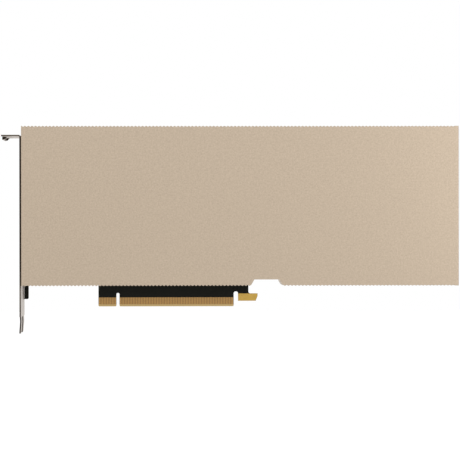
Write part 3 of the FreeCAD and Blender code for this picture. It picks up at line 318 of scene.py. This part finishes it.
def nickel_steel(colours):
    """Steel sheet, plated with nickel and then sheared and folded."""
    # Plated faces have a pale, slightly warm gloss with fine rolling lines. Sheared edges are bare and dull,
    # painted dark as shade, and painted lighter where light reaches them, on the flange and just under the
    # shroud.
    base = colours.nickel
    material, tree, shader = new_material("Nickel-plated steel sheet", base, 1.0, 0.36)
    tone = speckle(tree, shader, base, 0.6, 0.05, 0.002, (1, 1, 0.06))
    place = add_node(tree, "ShaderNodeTexCoord")
    facing = add_node(tree, "ShaderNodeSeparateXYZ", links={"Vector": place.outputs["Normal"]})
    turned = add_node(tree, "ShaderNodeMath", links={0: facing.outputs["Y"]}, operation="ABSOLUTE")
    sheared = add_node(tree, "ShaderNodeMath", {1: SHEARED_ABOVE}, {0: turned.outputs["Value"]},
                       operation="GREATER_THAN")
    spot = add_node(tree, "ShaderNodeSeparateXYZ", links={"Vector": place.outputs["Object"]})
    # Where the cut edge is painted lighter, as lit: the flange, and the band between the prongs and the
    # shroud.
    flange = add_node(tree, "ShaderNodeMapRange", FLANGE_HEIGHTS, {"Value": spot.outputs["Z"]})
    below = add_node(tree, "ShaderNodeMapRange", BELOW_SHROUD_HEIGHTS, {"Value": spot.outputs["Z"]})
    over_prongs = add_node(tree, "ShaderNodeMapRange", OVER_PRONGS_HEIGHTS, {"Value": spot.outputs["Z"]})
    lit_below_shroud = add_node(tree, "ShaderNodeMath",
                    links={0: below.outputs["Result"], 1: over_prongs.outputs["Result"]},
                    operation="MULTIPLY")
    light_reach = add_node(tree, "ShaderNodeMath",
                       links={0: flange.outputs["Result"], 1: lit_below_shroud.outputs["Value"]}, operation="MAXIMUM")
    # The cut edge's tone: bare dull steel painted dark as shade, blended to a painted lighter tone where
    # lit.
    edge = add_node(tree, "ShaderNodeMix", {MIX_A: (*colours.sheared, 1), MIX_B: (*colours.lit_cut_edge, 1)},
                    {MIX_SHARE: light_reach.outputs["Value"]}, data_type="RGBA")
    skin = add_node(tree, "ShaderNodeMix",
                    links={MIX_SHARE: sheared.outputs["Value"], MIX_A: tone.outputs[MIX_RESULT],
                           MIX_B: edge.outputs[MIX_RESULT]}, data_type="RGBA")
    tree.links.new(skin.outputs[MIX_RESULT], shader.inputs["Base Color"])
    return material


def black_aluminium(colours):
    """Aluminium, blasted and dyed black in the anodising bath."""
    # The dyed oxide is nearly black and only its glassy skin reflects, as a soft grey satin.
    base = colours.black_anodising
    material, tree, shader = new_material("Anodised aluminium, black", base, 0.0, 0.42, 1.6, 0.3)
    speckle(tree, shader, base, 0.6, 0.15, 0.004)
    return material


def black_plastic(colours):
    """Nylon with glass fibre, moulded."""
    # The mould's spark-eroded skin leaves a fine, even matte with a weak sheen.
    base = colours.black_nylon
    material, tree, shader = new_material("Moulded black nylon", base, 0.0, 0.5, 1.53, 0.35)
    speckle(tree, shader, base, 0.35, 0.15, 0.008)
    return material


def screw_steel(colours):
    """Steel, turned and zinc plated."""
    # Bright plating with a faint cloudiness and the fine marks of tumbling in the barrel.
    base = colours.zinc
    material, tree, shader = new_material("Zinc-plated steel", base, 1.0, 0.3)
    speckle(tree, shader, base, 0.8, 0.1, 0.003)
    return material


def spring_steel(colours):
    """Hard steel strip, rolled."""
    # Rolling leaves long fine streaks along the strip.
    base = colours.spring
    material, tree, shader = new_material("Rolled spring steel", base, 1.0, 0.32)
    speckle(tree, shader, base, 0.5, 0.08, 0.002, (0.05, 1, 1))
    return material


def bare_aluminium(colours):
    """Aluminium sheet, as it comes from the mill."""
    # A cool silver with rolling lines along the fins.
    base = colours.aluminium
    material, tree, shader = new_material("Mill-finish aluminium", base, 1.0, 0.34)
    speckle(tree, shader, base, 0.5, 0.06, 0.002, (0.05, 1, 1))
    return material


def copper(colours):
    """Copper sheet, pressed and left bare."""
    # A warm, slightly tarnished face with cloudy patches a few millimetres wide.
    base = colours.copper
    material, tree, shader = new_material("Bare copper", base, 1.0, 0.36)
    speckle(tree, shader, base, 4.0, 0.15, 0.002)
    return material


def substrate_laminate():
    """Fine glass-epoxy laminate under a green mask."""
    # A smooth, slightly glossy deep green.
    base = linear("#2B4A30")
    material, tree, shader = new_material("Package laminate, green mask", base, 0.0, 0.4, 1.5)
    speckle(tree, shader, base, 0.8, 0.1, 0.002)
    return material


def stiffener_steel():
    """Stainless steel, stamped and brushed."""
    # A plain grey with short brush lines that give a soft, even gloss.
    base = linear("#A8A9AB")
    material, tree, shader = new_material("Brushed stainless steel", base, 1.0, 0.35)
    speckle(tree, shader, base, 0.4, 0.06, 0.002, (0.1, 1, 1))
    return material


def silicon():
    """Silicon, ground and polished on its back."""
    # Nearly a mirror, dark blue-grey, with the faint arcs of grinding.
    base = linear("#5A5D66")
    material, tree, shader = new_material("Polished silicon", base, 1.0, 0.12)
    speckle(tree, shader, base, 2.0, 0.04, 0.0005, (0.1, 1, 1))
    return material


def thermal_compound():
    """Filled silicone, pressed flat."""
    # Soft and dull, with a fine grey grain from its filler.
    base = linear("#8F959B")
    material, tree, shader = new_material("Filled silicone", base, 0.0, 0.7, 1.41)
    speckle(tree, shader, base, 0.5, 0.08, 0.01)
    return material


def ferrite():
    """Iron powder, pressed with a binder."""
    # Dark grey and dry, with the grains just showing.
    base = linear("#3A3A3C")
    material, tree, shader = new_material("Pressed iron powder", base, 0.0, 0.6, 1.6)
    speckle(tree, shader, base, 0.4, 0.2, 0.015)
    return material


def chip_epoxy():
    """Epoxy, moulded round a chip."""
    # Matte black with a slight grain from the mould.
    base = linear("#18181A")
    material, tree, shader = new_material("Moulded chip epoxy", base, 0.0, 0.55, 1.55)
    speckle(tree, shader, base, 0.3, 0.15, 0.006)
    return material


def capacitor_resin():
    """Resin, moulded round a polymer capacitor."""
    # A smooth dark grey with a weak sheen.
    base = linear("#2A2A2D")
    material, tree, shader = new_material("Moulded capacitor resin", base, 0.0, 0.45, 1.55)
    speckle(tree, shader, base, 0.5, 0.1, 0.004)
    return material


def insulating_film():
    """Polycarbonate film, cast with a velvet face."""
    # Thin black film with a soft, wide sheen.
    base = linear("#131314")
    material, tree, shader = new_material("Black polycarbonate film", base, 0.0, 0.5, 1.58, 0.3)
    speckle(tree, shader, base, 0.8, 0.15, 0.004)
    return material


def tin_plate():
    """Brass, plated with matte tin."""
    # A soft white metal with a fine crystal grain.
    base = linear("#CDCDCE")
    material, tree, shader = new_material("Matte tin plate", base, 1.0, 0.4)
    speckle(tree, shader, base, 0.4, 0.08, 0.003)
    return material


# Pieces

# An edge that turns by more than SHARP is broken, and faces that turn by less than FLAT become one face.
SHARP = math.radians(30)
FLAT = math.radians(0.5)
# Faces that turn by less than this are shaded as one surface, on a copied solid and on a screw.
SOLID_SMOOTH = math.radians(20)
SCREW_SMOOTH = math.radians(25)
# Corners nearer to each other than this share of a broken edge's width become one.
MERGE_SHARE = 0.4
# Corners nearer to each other than this are the same corner of a solid.
SAME_CORNER = 0.001 * MM
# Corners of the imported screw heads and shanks, whose flats touch the true circle.
HEAD_FLATS = 10
SHANK_FLATS = 8
# Share of Z in the normal of a face that counts as level.
LEVEL = 0.9
# The bracket's sheet, and the near edge of its middle lip. A web sinks into the sheet, so that both become
# one body, and stands back a little from the cut edge.
SHEET = 0.86 * MM
MIDDLE_LIP = -23.62 * MM
WEB_SINK = 0.4 * MM
WEB_BACK = 0.15 * MM


def deselect_all():
    """Empties the selection, before an operator that works on what is selected."""
    bpy.ops.object.select_all(action="DESELECT")


def dress(material, *nodes):
    """Gives solids that stay as they are their material."""
    for node in nodes:
        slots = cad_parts[node].data.materials
        slots.clear()
        slots.append(material)


def take_place(piece, material, node):
    """Lets a finished piece stand for its solid."""
    piece.data.materials.clear()
    piece.data.materials.append(material)
    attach(piece, "root")
    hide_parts(node)


def select_edges(piece, test):
    """In edit mode, selects only the edges whose faces turn sharply and that pass a test."""
    bpy.ops.mesh.select_mode(type="EDGE")
    bpy.ops.mesh.select_all(action="DESELECT")
    shape = bmesh.from_edit_mesh(piece.data)
    for edge in shape.edges:
        edge.select_set(edge.calc_face_angle(0) > SHARP and test(edge))
    bmesh.update_edit_mesh(piece.data)


def broken_edges(node, name, width, test=lambda edge: True):
    """A copy of a solid whose sharp edges are broken, as by deburring, tumbling or a mould's radius.

    Corners much closer than that width become one, so that every bevel has room.
    """
    deselect_all()
    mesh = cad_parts[node].data.copy()
    piece = bpy.data.objects.new(name, mesh)
    bpy.context.collection.objects.link(piece)
    piece.select_set(True)
    bpy.context.view_layer.objects.active = piece
    bpy.ops.mesh.customdata_custom_splitnormals_clear()
    bpy.ops.object.mode_set(mode="EDIT")
    bpy.ops.mesh.select_all(action="SELECT")
    bpy.ops.mesh.remove_doubles(threshold=MERGE_SHARE * width)
    bpy.ops.mesh.dissolve_limited(angle_limit=FLAT)
    select_edges(piece, test)
    bpy.ops.mesh.bevel(offset=width, segments=2, affect="EDGES", clamp_overlap=False)
    bpy.ops.object.mode_set(mode="OBJECT")
    bpy.ops.object.shade_smooth_by_angle(angle=SOLID_SMOOTH)
    return piece


def solids_of(node):
    """The corner points of each separate solid in a node."""
    merged = bmesh.new()
    merged.from_mesh(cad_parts[node].data)
    bmesh.ops.remove_doubles(merged, verts=merged.verts, dist=SAME_CORNER)
    waiting = dict.fromkeys(merged.verts)  # keeps the order of the mesh, so that every run is the same
    solids = []
    while waiting:
        to_visit = [next(iter(waiting))]
        del waiting[to_visit[0]]
        found = []
        while to_visit:
            corner = to_visit.pop()
            found.append(corner.co.copy())
            for edge in corner.link_edges:
                other = edge.other_vert(corner)
                if other in waiting:
                    del waiting[other]
                    to_visit.append(other)
        solids.append(found)
    merged.free()
    return solids


class ScrewForm:
    """Where one plain screw of the frame stands, which way its head faces, and how large it is."""

    def __init__(self, corners, facing):
        across = [axis for axis in range(3) if facing[axis] == 0]
        along = [corner.dot(facing) for corner in corners]
        middle = Vector([(min(places) + max(places)) / 2 for places in zip(*corners)])
        self.facing = facing
        self.top = max(along)
        self.tip = min(along)
        self.place = middle + facing * (self.top - middle.dot(facing))
        reach = [math.hypot(*[(corner - middle)[axis] for axis in across]) for corner in corners]
        self.head_radius = max(reach) * math.cos(math.pi / HEAD_FLATS)
        self.shank_radius = min(reach) * math.cos(math.pi / SHANK_FLATS)
        halfway = (max(reach) + min(reach)) / 2
        self.seat = min(place for place, radius in zip(along, reach) if radius > halfway)


def select_faces(piece, test):
    """In edit mode, selects only the faces that pass a test."""
    bpy.ops.mesh.select_mode(type="FACE")
    bpy.ops.mesh.select_all(action="DESELECT")
    shape = bmesh.from_edit_mesh(piece.data)
    for face in shape.faces:
        face.select_set(test(face))
    bmesh.update_edit_mesh(piece.data)


def make_screw(form, sizes, name):
    """One screw, turned with its head up and its top at the origin, with a cross recess."""
    head_height = form.top - form.seat
    deselect_all()
    bpy.ops.mesh.primitive_cylinder_add(vertices=sizes.head_corners, radius=form.head_radius,
                                        depth=head_height, location=(0, 0, -head_height / 2))
    screw = bpy.context.object
    screw.name = name
    bpy.ops.object.transform_apply(location=True, rotation=True, scale=True)
    bpy.ops.object.mode_set(mode="EDIT")
    select_faces(screw, lambda face: face.normal.z < -LEVEL)
    bpy.ops.mesh.inset(thickness=form.head_radius - form.shank_radius, depth=0)
    shank = form.seat - form.tip
    bpy.ops.mesh.extrude_region_move(TRANSFORM_OT_translate={"value": (0, 0, -shank)})
    select_faces(screw, lambda face: face.normal.z > LEVEL)
    bpy.ops.mesh.bevel(offset=sizes.head_break, segments=3, affect="EDGES")
    bpy.ops.object.mode_set(mode="OBJECT")
    cut_cross(screw, form.head_radius * 2 * sizes.recess_share, sizes)
    bpy.context.view_layer.objects.active = screw
    bpy.ops.object.shade_smooth_by_angle(angle=SCREW_SMOOTH)
    return screw


def combine(piece, tool, operation):
    """Cuts a tool out of a piece, or makes one body of both, and removes the tool."""
    deselect_all()
    piece.select_set(True)
    bpy.context.view_layer.objects.active = piece
    change = piece.modifiers.new("Combine", "BOOLEAN")
    change.operation = operation
    change.object = tool
    bpy.ops.object.modifier_apply(modifier=change.name)
    bpy.data.objects.remove(tool)


def cut_cross(screw, reach, sizes):
    """Sinks the four arms of a cross recess into a screw head."""
    for width_x, width_y in ((reach, sizes.recess_width), (sizes.recess_width, reach)):
        deselect_all()
        bpy.ops.mesh.primitive_cube_add(size=1, location=(0, 0, 0))
        cutter = bpy.context.object
        cutter.dimensions = (width_x, width_y, 2 * sizes.recess_depth)
        bpy.ops.object.transform_apply(location=True, rotation=True, scale=True)
        combine(screw, cutter, "DIFFERENCE")


def screw_set(node, name, facings, sizes):
    """All the screws of one node as one piece: copies of the first, each turned and moved to its solid."""
    forms = []
    for corners in solids_of(node):
        middle = sum(corners, Vector()) / len(corners)
        facing = next(turn for test, turn in facings if test(middle))
        forms.append(ScrewForm(corners, facing))
    pattern = make_screw(forms[0], sizes, name)
    copies = []
    for form in forms:
        screw = pattern.copy()
        screw.data = pattern.data.copy()
        bpy.context.collection.objects.link(screw)
        screw.rotation_mode = "QUATERNION"
        screw.rotation_quaternion = form.facing.to_track_quat("Z", "Y")
        screw.location = form.place
        copies.append(screw)
    bpy.data.objects.remove(pattern)
    deselect_all()
    for screw in copies:
        screw.select_set(True)
    bpy.context.view_layer.objects.active = copies[0]
    bpy.ops.object.transform_apply(location=True, rotation=True, scale=True)
    bpy.ops.object.join()
    copies[0].name = name
    return copies[0]


def lip_web(bracket, corner, sizes):
    """Stiffens one lip of the bracket with a small web, which slopes from its lower end up to the flange."""
    reach = sizes.web_reach + WEB_SINK
    drop = sizes.web_drop + WEB_SINK
    place = corner + Vector((SHEET - WEB_SINK + reach / 2, sizes.web_thick / 2, WEB_SINK - SHEET - drop / 2))
    deselect_all()
    bpy.ops.mesh.primitive_cube_add(size=1, location=place)
    web = bpy.context.object
    web.dimensions = (reach, sizes.web_thick, drop)
    bpy.ops.object.transform_apply(location=True, rotation=True, scale=True)
    bpy.ops.object.mode_set(mode="EDIT")
    select_edges(web, lambda edge: all(end.co.x > place.x and end.co.z < place.z for end in edge.verts))
    bpy.ops.transform.translate(value=(sizes.web_foot - sizes.web_reach, 0, 0))
    bpy.ops.object.mode_set(mode="OBJECT")
    combine(bracket, web, "UNION")


class CARD_OT_shroud(bpy.types.Operator):
    """Finish the fluted shroud with broken edges and champagne anodising"""

    bl_idname = "card.shroud"
    bl_label = "Fluted Shroud"

    def execute(self, context):
        sizes = context.scene.card_sizes
        near_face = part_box("front_shroud")[0].y + sizes.shroud_break
        piece = broken_edges("front_shroud", "fluted_shroud", sizes.shroud_break,
                             lambda edge: all(corner.co.y < near_face for corner in edge.verts))
        champagne = champagne_aluminium(context.scene.card_colours)
        take_place(piece, champagne, "front_shroud")
        return {"FINISHED"}


class CARD_OT_bracket(bpy.types.Operator):
    """Finish the folded bracket with deburred edges, webs behind its lips and nickel plating"""

    bl_idname = "card.bracket"
    bl_label = "Folded Bracket"

    def execute(self, context):
        sizes = context.scene.card_sizes
        piece = broken_edges("io_bracket", "folded_bracket", sizes.bracket_break)
        low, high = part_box("io_bracket")
        for near in (MIDDLE_LIP + WEB_BACK, high.y - WEB_BACK - sizes.web_thick):
            lip_web(piece, Vector((low.x, near, high.z)), sizes)
        bpy.ops.object.shade_smooth_by_angle(angle=SOLID_SMOOTH)
        take_place(piece, nickel_steel(context.scene.card_colours), "io_bracket")
        return {"FINISHED"}


class CARD_OT_back_cover(bpy.types.Operator):
    """Finish the back cover, the frame behind the shroud, the spring plate and the film"""

    bl_idname = "card.back_cover"
    bl_label = "Back Cover and Frame"

    def execute(self, context):
        sizes = context.scene.card_sizes
        colours = context.scene.card_colours
        black = black_aluminium(colours)
        cover = broken_edges("backplate", "back_cover", sizes.cover_break)
        take_place(cover, black, "backplate")
        rails = broken_edges("board_frame", "board_rails", sizes.cover_break)
        take_place(rails, black, "board_frame")
        spring = broken_edges("spring_plate", "spring_ring", sizes.bracket_break)
        take_place(spring, spring_steel(colours), "spring_plate")
        dress(insulating_film(), "insulator_film")
        return {"FINISHED"}


class CARD_OT_mouldings(bpy.types.Operator):
    """Finish the moulded power inlet and the dust caps"""

    bl_idname = "card.mouldings"
    bl_label = "Power Inlet and Caps"

    def execute(self, context):
        sizes = context.scene.card_sizes
        nylon = black_plastic(context.scene.card_colours)
        inlet = broken_edges("power_socket", "power_inlet", sizes.moulded_break)
        take_place(inlet, nylon, "power_socket")
        caps = broken_edges("link_caps", "dust_caps", sizes.moulded_break)
        take_place(caps, nylon, "link_caps")
        dress(tin_plate(), "power_pins")
        return {"FINISHED"}


class CARD_OT_screws(bpy.types.Operator):
    """Turn the plain screws into screws with round heads and a cross recess"""

    bl_idname = "card.screws"
    bl_label = "Screws"

    def execute(self, context):
        sizes = context.scene.card_sizes
        steel = screw_steel(context.scene.card_colours)
        low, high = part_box("front_shroud")
        halfway = (low.z + high.z) / 2
        up_or_down = [(lambda place: place.z > halfway, Vector((0, 0, 1))),
                      (lambda place: True, Vector((0, 0, -1)))]
        to_back = [(lambda place: True, Vector((0, 1, 0)))]
        outside = [(lambda place: True, Vector((-1, 0, 0)))]
        groups = (
            ("shroud_screws", "shroud_screw_set", up_or_down),
            ("backplate_screws", "back_screw_set", to_back),
            ("spring_screws", "spring_screw_set", to_back),
            ("bracket_screws", "bracket_screw_set", outside),
        )
        for node, name, facings in groups:
            piece = screw_set(node, name, facings, sizes)
            take_place(piece, steel, node)
        return {"FINISHED"}


class CARD_OT_board(bpy.types.Operator):
    """Finish the circuit board and its gold"""

    bl_idname = "card.board"
    bl_label = "Circuit Board"

    def execute(self, context):
        colours = context.scene.card_colours
        dress(board_laminate(colours), "circuit_board")
        dress(hard_gold(colours), "edge_contacts_front", "edge_contacts_back", "link_contacts")
        dress(soft_gold(colours), "hook_plating")
        return {"FINISHED"}


class CARD_OT_heat_sink(bpy.types.Operator):
    """Finish the fins, their base, the vapour chamber and its posts"""

    bl_idname = "card.heat_sink"
    bl_label = "Heat Sink"

    def execute(self, context):
        colours = context.scene.card_colours
        dress(bare_aluminium(colours), "cooling_fins", "fin_base")
        dress(copper(colours), "vapour_chamber")
        dress(spring_steel(colours), "heat_sink_posts")
        return {"FINISHED"}


class CARD_OT_components(bpy.types.Operator):
    """Finish the processor package and the parts soldered to the board"""

    bl_idname = "card.components"
    bl_label = "Components"

    def execute(self, context):
        dress(substrate_laminate(), "processor_substrate")
        dress(silicon(), "processor_die", "memory_stacks")
        dress(stiffener_steel(), "package_ring")
        dress(thermal_compound(), "thermal_paste", "inductor_pads")
        dress(ferrite(), "power_inductors")
        dress(chip_epoxy(), "power_stages", "control_chips")
        dress(capacitor_resin(), "output_capacitors", "input_capacitors")
        return {"FINISHED"}


# Stage

# Places of the soft lamps from the middle of the card and the sides of their square faces, in metres.
KEY_PLACE = Vector((0.36, -0.45, 0.085))
KEY_SIDE = 0.3
FILL_PLACE = Vector((0.0, -1.1, 0.46))
FILL_SIDE = 0.9
TOP_PLACE = Vector((0.0, 0.3, 1.2))
TOP_SIDE = 1.0


def shown_share(tree):
    """A socket that is 1 for rays that show a thing, straight or mirrored, and 0 for rays that light it."""
    rays = add_node(tree, "ShaderNodeLightPath")
    seen = add_node(tree, "ShaderNodeMath",
                    links={0: rays.outputs["Is Camera Ray"], 1: rays.outputs["Is Glossy Ray"]},
                    operation="MAXIMUM")
    shown = add_node(tree, "ShaderNodeMath",
                     links={0: seen.outputs["Value"], 1: rays.outputs["Is Transmission Ray"]},
                     operation="MAXIMUM")
    return shown.outputs["Value"]


def floor_material(glow_level):
    """Smooth pale card. Its glow lifts what the sky lights to white, so a shadow on it still shows."""
    material, tree, shader = new_material("Pale studio card", linear("#F2F2F2"), 0.0, 0.9)
    level = add_node(tree, "ShaderNodeMath", {1: glow_level}, {0: shown_share(tree)}, operation="MULTIPLY")
    glow = add_node(tree, "ShaderNodeEmission", links={"Strength": level.outputs["Value"]})
    both = add_node(tree, "ShaderNodeAddShader",
                    links={0: shader.outputs["BSDF"], 1: glow.outputs["Emission"]})
    tree.links.new(both.outputs["Shader"], tree.nodes["Material Output"].inputs["Surface"])
    return material


def light_world(level):
    """Plain white surroundings, which light the card softly and show white behind it and in its metal."""
    world = bpy.data.worlds.new("Soft white surroundings")
    bpy.context.scene.world = world
    world.use_nodes = True
    tree = world.node_tree
    background = tree.nodes["Background"]
    background.inputs["Color"].default_value = (1, 1, 1, 1)
    strength = add_node(tree, "ShaderNodeMath", {1: level}, {0: shown_share(tree)}, operation="MAXIMUM")
    tree.links.new(strength.outputs["Value"], background.inputs["Strength"])


def soft_lamp(name, place, target, side, watts):
    """A square soft box that faces the card."""
    lamp = bpy.data.lights.new(name, "AREA")
    lamp.size = side
    lamp.energy = watts
    stand = bpy.data.objects.new(name, lamp)
    stand.location = place
    stand.rotation_euler = (target - place).to_track_quat("-Z", "Y").to_euler()
    bpy.context.collection.objects.link(stand)


class CARD_OT_stage(bpy.types.Operator):
    """Set the floor, the soft lamps, the surroundings and the camera"""

    bl_idname = "card.stage"
    bl_label = "Stage"

    def execute(self, context):
        stage = context.scene.card_stage
        low, high = cad_box
        middle = (low + high) / 2
        deselect_all()
        bpy.ops.mesh.primitive_plane_add(size=stage.floor_side,
                                         location=(middle.x, 0, low.z - stage.floor_drop))
        floor = context.object
        floor.name = "floor"
        bpy.ops.object.transform_apply(location=True, rotation=True, scale=True)
        floor.data.materials.append(floor_material(stage.floor_glow))

        light_world(stage.sky_level)
        soft_lamp("key_lamp", middle + KEY_PLACE, middle, KEY_SIDE, stage.key_watts)
        soft_lamp("fill_lamp", middle + FILL_PLACE, middle, FILL_SIDE, stage.fill_watts)
        soft_lamp("top_lamp", middle + TOP_PLACE, middle, TOP_SIDE, stage.top_watts)

        camera = bpy.data.cameras.new("camera")
        camera.sensor_fit = "HORIZONTAL"
        camera.lens = camera.sensor_width * stage.focal_pixels / stage.image_pixels
        tripod = bpy.data.objects.new("camera", camera)
        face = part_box("front_shroud")[0].y
        tripod.location = (stage.camera_x, face - stage.camera_away, stage.camera_z)
        level_ahead = math.radians(90)
        tripod.rotation_euler = (level_ahead - stage.camera_dip, stage.camera_roll, -stage.camera_turn)
        context.collection.objects.link(tripod)
        context.scene.camera = tripod
        context.scene.view_settings.view_transform = "Standard"
        return {"FINISHED"}


OPERATORS = (CARD_OT_shroud, CARD_OT_bracket, CARD_OT_back_cover, CARD_OT_mouldings, CARD_OT_screws,
             CARD_OT_board, CARD_OT_heat_sink, CARD_OT_components, CARD_OT_stage)


class CARD_PT_panel(bpy.types.Panel):
    """Lists what the add-on finishes, and the sizes and colours that it takes"""

    bl_idname = "CARD_PT_panel"
    bl_label = "Accelerator Card"
    bl_space_type = "VIEW_3D"
    bl_region_type = "UI"
    bl_category = "Card"

    def draw(self, context):
        for operator in OPERATORS:
            self.layout.operator(operator.bl_idname)
        for group in (context.scene.card_sizes, context.scene.card_colours, context.scene.card_stage):
            box = self.layout.box()
            for name in group.bl_rna.properties.keys():
                if name not in ("rna_type", "name"):
                    box.prop(group, name)


CLASSES = (CardSizes, CardColours, StageSizes, *OPERATORS, CARD_PT_panel)


def register():
    for item in CLASSES:
        bpy.utils.register_class(item)
    bpy.types.Scene.card_sizes = PointerProperty(type=CardSizes)
    bpy.types.Scene.card_colours = PointerProperty(type=CardColours)
    bpy.types.Scene.card_stage = PointerProperty(type=StageSizes)


def unregister():
    del bpy.types.Scene.card_stage
    del bpy.types.Scene.card_colours
    del bpy.types.Scene.card_sizes
    for item in reversed(CLASSES):
        bpy.utils.unregister_class(item)


def main():
    register()
    bpy.ops.card.shroud()
    bpy.ops.card.bracket()
    bpy.ops.card.back_cover()
    bpy.ops.card.mouldings()
    bpy.ops.card.screws()
    bpy.ops.card.board()
    bpy.ops.card.heat_sink()
    bpy.ops.card.components()
    bpy.ops.card.stage()


if __name__ == "__main__":
    main()
